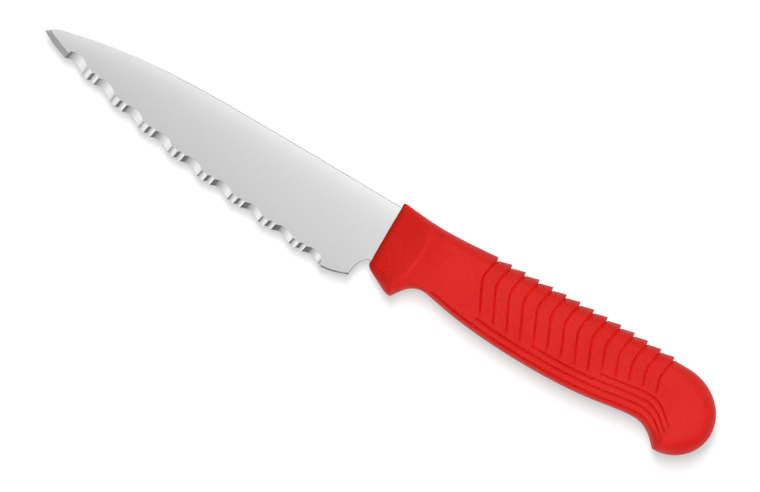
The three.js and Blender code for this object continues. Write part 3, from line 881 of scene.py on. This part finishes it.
def two_tones(nodes, links, share, low, high):
    """A noise share as a colour between two ends."""
    ramp = nodes.new("ShaderNodeValToRGB")
    ramp.color_ramp.elements[0].position = NOISE_LOW
    ramp.color_ramp.elements[0].color = (*low, 1)
    ramp.color_ramp.elements[1].position = NOISE_HIGH
    ramp.color_ramp.elements[1].color = (*high, 1)
    links.new(share, ramp.inputs["Fac"])
    return ramp.outputs["Color"]


def bumped(nodes, links, height, distance, strength):
    bump = nodes.new("ShaderNodeBump")
    bump.inputs["Distance"].default_value = distance
    bump.inputs["Strength"].default_value = strength
    links.new(height, bump.inputs["Height"])
    return bump.outputs["Normal"]


print(f"noise is used between {NOISE_LOW} and {NOISE_HIGH}, where most of it lies")

# %% [markdown]
# ## Red plastic
# The mould was spark-eroded, which leaves a fine, even grain on the plastic and makes it matt. Two noises give
# it:
# the grain itself as bump, roughness and a speckle of painted glints and painted shade, lighter on the grain's
# bumps and darker in its pits, and a much wider one for the slight cloudiness of a coloured plastic, mixed
# into the speckle.

# %% The handle's finish
GRAIN = 0.0005
GRAIN_HEIGHT = 0.00016
GRAIN_STRENGTH = 0.8
GRAIN_ROUGHNESS = (0.5, 0.64)
CLOUD = 0.012
CLOUD_SHARE = 0.25
RED_LOW = (0.71, 0.002, 0.0)
RED_HIGH = (0.81, 0.02, 0.012)
PLASTIC_SPECULAR = 0.2
plastic, nodes, links = new_material("grained_red_plastic")
shader = nodes["Principled BSDF"]
grain = noise(nodes, links, place_in(nodes, links, (1 / GRAIN,) * 3), detail=2)
cloud = noise(nodes, links, place_in(nodes, links, (1 / CLOUD,) * 3), detail=1)
# The speckle lightens the red where the grain's bumps rise and darkens it in the pits: painted glints and
# painted shade, mixed with the plastic's real cloudiness.
painted_glints_and_cloud = nodes.new("ShaderNodeMix")
painted_glints_and_cloud.inputs["Factor"].default_value = CLOUD_SHARE
links.new(grain, painted_glints_and_cloud.inputs["A"])
links.new(cloud, painted_glints_and_cloud.inputs["B"])
red = two_tones(nodes, links, painted_glints_and_cloud.outputs["Result"], RED_LOW, RED_HIGH)
links.new(red, shader.inputs["Base Color"])
links.new(between(nodes, links, grain, *GRAIN_ROUGHNESS), shader.inputs["Roughness"])
links.new(bumped(nodes, links, grain, GRAIN_HEIGHT, GRAIN_STRENGTH), shader.inputs["Normal"])
shader.inputs["Specular IOR Level"].default_value = PLASTIC_SPECULAR
handle.data.materials.append(plastic)
print("finish:", plastic.name)

# %% [markdown]
# ## Steel
# The flats carry a satin finish: very fine lines from spine to edge, left by a belt. A noise that is drawn
# out along Y gives the lines, as tone, as roughness and as a faint bump. The scallops come straight from the
# grinding wheel, so they are brighter and smoother, with lines that run up the bevel.

# %% The blade's two finishes
LINE_ALONG = 0.006
LINE_ACROSS = 0.00012
LINE_DEPTH = 0.00001
LINE_STRENGTH = 0.1


def steel_finish(name, low, high, roughness):
    """Steel with fine lines from spine to edge, between two greys and two roughnesses."""
    material, nodes, links = new_material(name)
    shader = nodes["Principled BSDF"]
    drawn_out = place_in(nodes, links, (1 / LINE_ACROSS, 1 / LINE_ALONG, 1 / LINE_ALONG))
    lines = noise(nodes, links, drawn_out, detail=2)
    links.new(two_tones(nodes, links, lines, (low,) * 3, (high,) * 3), shader.inputs["Base Color"])
    links.new(between(nodes, links, lines, *roughness), shader.inputs["Roughness"])
    links.new(bumped(nodes, links, lines, LINE_DEPTH, LINE_STRENGTH), shader.inputs["Normal"])
    shader.inputs["Metallic"].default_value = 1
    return material


blade.data.materials.append(steel_finish("satin_steel", low=0.68, high=0.72, roughness=(0.3, 0.38)))
blade.data.materials.append(steel_finish("ground_steel", low=0.7, high=0.76, roughness=(0.1, 0.17)))
print("finishes:", [material.name for material in blade.data.materials])

# %% [markdown]
# ## Table, light and camera
# The knife lies on a white table under soft studio light. Paint alone would need so much light for pure white
# that the knife would suffer. So the table adds a glow of its own, for the camera and in reflections only,
# and its paint still darkens where the knife shades it.

# %% The table
TABLE_REACH = 3
TABLE_PAINT = 0.3
TABLE_GLOW = 0.575
floor_drawing = bmesh.new()
bmesh.ops.create_grid(floor_drawing, x_segments=1, y_segments=1, size=TABLE_REACH)
floor_mesh = bpy.data.meshes.new("table")
floor_drawing.to_mesh(floor_mesh)
floor_drawing.free()
table = bpy.data.objects.new("table", floor_mesh)
bpy.context.collection.objects.link(table)

white, nodes, links = new_material("white_table")
nodes.remove(nodes["Principled BSDF"])
paint = nodes.new("ShaderNodeBsdfDiffuse")
paint.inputs["Color"].default_value = (TABLE_PAINT, TABLE_PAINT, TABLE_PAINT, 1)
glow = nodes.new("ShaderNodeEmission")
both = nodes.new("ShaderNodeAddShader")
links.new(paint.outputs["BSDF"], both.inputs[0])
links.new(glow.outputs["Emission"], both.inputs[1])
links.new(both.outputs["Shader"], nodes["Material Output"].inputs["Surface"])


def combined(nodes, links, operation, *values):
    """A Math node on sockets and plain numbers."""
    maths = nodes.new("ShaderNodeMath")
    maths.operation = operation
    for value, socket in zip(values, maths.inputs):
        if isinstance(value, bpy.types.NodeSocket):
            links.new(value, socket)
        else:
            socket.default_value = value
    return maths.outputs["Value"]


def seen_directly(nodes, links, strength):
    """A strength for the camera, straight, in reflections and through glass, and none for other rays."""
    path = nodes.new("ShaderNodeLightPath")
    either = combined(nodes, links, "MAXIMUM", path.outputs["Is Camera Ray"], path.outputs["Is Glossy Ray"])
    any_of = combined(nodes, links, "MAXIMUM", either, path.outputs["Is Transmission Ray"])
    return combined(nodes, links, "MULTIPLY", any_of, strength)


links.new(seen_directly(nodes, links, TABLE_GLOW), glow.inputs["Strength"])
table.data.materials.append(white)
print(f"table: {2 * TABLE_REACH} m wide, under the knife at z = 0")

# %% [markdown]
# The room is what the steel mirrors. It is white along the horizon, where other cameras look past the table,
# and grey above that, but dark overhead and towards the bottom of the picture: without something dark to
# mirror, the scallops would vanish into the white. The room is that light for the camera and in reflections
# only. As a lamp it stays dim, so that the plastic takes its light from the softboxes.

# %% The room
ROLL = math.radians(30.25)
image_up = Vector((-math.sin(ROLL), math.cos(ROLL), 0))
image_right = Vector((math.cos(ROLL), math.sin(ROLL), 0))
overhead = Vector((0, 0, 1))
DARK_SIDE = (0.39 * image_right - 0.92 * image_up).normalized()
DARK_SIDE_FADE = (0.95, 0.3)
CEILING_FADE = (0.7, 0.4)
SKIRTING_FADE = (0.33, 0.27)
HORIZON_FADE = (0.1, 0.04)
ROOM_DARK = 0.04
ROOM_BRIGHT = 0.42


def fading(nodes, links, value, none_at, all_at):
    """A share that grows from 0 to 1 while a value goes from one number to another."""
    fade = nodes.new("ShaderNodeMapRange")
    fade.inputs["From Min"].default_value = none_at
    fade.inputs["From Max"].default_value = all_at
    links.new(value, fade.inputs["Value"])
    return fade.outputs["Result"]


world = bpy.data.worlds.new("studio")
bpy.context.scene.world = world
world.use_nodes = True
nodes, links = world.node_tree.nodes, world.node_tree.links
looking = nodes.new("ShaderNodeTexCoord").outputs["Generated"]
towards = nodes.new("ShaderNodeVectorMath")
towards.operation = "DOT_PRODUCT"
towards.inputs[1].default_value = DARK_SIDE
links.new(looking, towards.inputs[0])
split = nodes.new("ShaderNodeSeparateXYZ")
links.new(looking, split.inputs["Vector"])
height = split.outputs["Z"]

side = fading(nodes, links, towards.outputs["Value"], *DARK_SIDE_FADE)
ceiling = fading(nodes, links, height, *CEILING_FADE)
skirting = fading(nodes, links, height, *SKIRTING_FADE)
light_part = combined(nodes, links, "MINIMUM", side, ceiling)
lit_part = combined(nodes, links, "MAXIMUM", light_part, skirting)
wall = combined(nodes, links, "MULTIPLY", lit_part, ROOM_BRIGHT)
room = nodes.new("ShaderNodeMix")
room.inputs["B"].default_value = 1
links.new(fading(nodes, links, height, *HORIZON_FADE), room.inputs["Factor"])
links.new(wall, room.inputs["A"])
seen = seen_directly(nodes, links, 1)
room_light = combined(nodes, links, "MULTIPLY_ADD", room.outputs["Result"], seen, ROOM_DARK)
links.new(room_light, nodes["Background"].inputs["Strength"])
nodes["Background"].inputs["Color"].default_value = (1, 1, 1, 1)
print(f"room: {ROOM_BRIGHT + ROOM_DARK:.2f} where it is grey and {ROOM_DARK} where it is dark")

# %% [markdown]
# Steel and plastic want different light, and a photographer would flag one off from the other. Light linking
# does that here. The handle has a long strip overhead, a softbox behind for its top edge, and a low one in
# front for its belly. The blade has a softbox overhead, and one from the side for the scallops to mirror,
# with a grid that fades its rim. A lamp from the top of the picture lights the table alone, and gives the
# knife its soft shadow.

# %% Lamps
WATTS_PER_SQUARE_METRE = 4


def lit_only(name, *receivers):
    """A collection that limits a lamp to these objects."""
    collection = bpy.data.collections.new(name)
    for receiver in receivers:
        collection.objects.link(receiver)
    return collection


def softbox(name, receivers, place, size, brightness):
    """A lamp that looks at the knife. A brightness of 1 is that of a white sheet in the picture."""
    lamp = bpy.data.lights.new(name, "AREA")
    lamp.shape = "RECTANGLE"
    lamp.size, lamp.size_y = size
    lamp.energy = brightness * WATTS_PER_SQUARE_METRE * size[0] * size[1]
    holder = bpy.data.objects.new(name, lamp)
    holder.location = place
    holder.rotation_euler = (-place).to_track_quat("-Z", "Y").to_euler()
    holder.light_linking.receiver_collection = receivers
    bpy.context.collection.objects.link(holder)
    return holder


handle_only = lit_only("lit_handle", handle)
blade_only = lit_only("lit_blade", blade)
table_only = lit_only("lit_table", table)
softbox("handle_softbox", handle_only, Vector((0.17, 0.05, 0.9)), size=(0.4, 2.25), brightness=2.98)
softbox("rim_softbox", handle_only, Vector((0.1, 0.8, 0.5)), size=(0.5, 0.25), brightness=4.2)
softbox("fill_softbox", handle_only, Vector((0.15, -0.9, 0.3)), size=(0.5, 0.3), brightness=4.6)
softbox("blade_softbox", blade_only, Vector((0.1, 0.42, 0.81)), size=(0.9, 1.12), brightness=1.37)
grid = softbox("side_softbox", blade_only, Vector((-0.4, -0.57, 0.61)), size=(1.1, 0.6), brightness=0.15)
grid.data.spread = math.radians(80)
softbox("table_lamp", table_only, 0.9 * overhead + 0.25 * image_up, size=(0.24, 0.44), brightness=37)
print("lamps:", [lamp.name for lamp in bpy.data.lights])

# %% [markdown]
# The camera looks straight down on the knife, and is rolled so that the knife lies aslant in the picture. It
# is far away with a long lens, which keeps the outline nearly free of perspective. The lens follows from the
# width of the view, at the height of the blade.

# %% The camera
VIEW_WIDTH = 0.2187
LOOKED_AT = Vector((0.0025, -0.00075, 0))
CAMERA_HEIGHT = 1.2
lens = bpy.data.cameras.new("camera")
lens.sensor_width = 36
lens.lens = lens.sensor_width * CAMERA_HEIGHT / VIEW_WIDTH
camera = bpy.data.objects.new("camera", lens)
camera.location = LOOKED_AT + Vector((0, 0, origin.z + CAMERA_HEIGHT))
camera.rotation_euler = (0, 0, ROLL)
bpy.context.collection.objects.link(camera)
bpy.context.scene.camera = camera
bpy.context.scene.view_settings.view_transform = "Standard"
print(f"camera {CAMERA_HEIGHT} m above the blade, {lens.lens:.0f} mm lens")
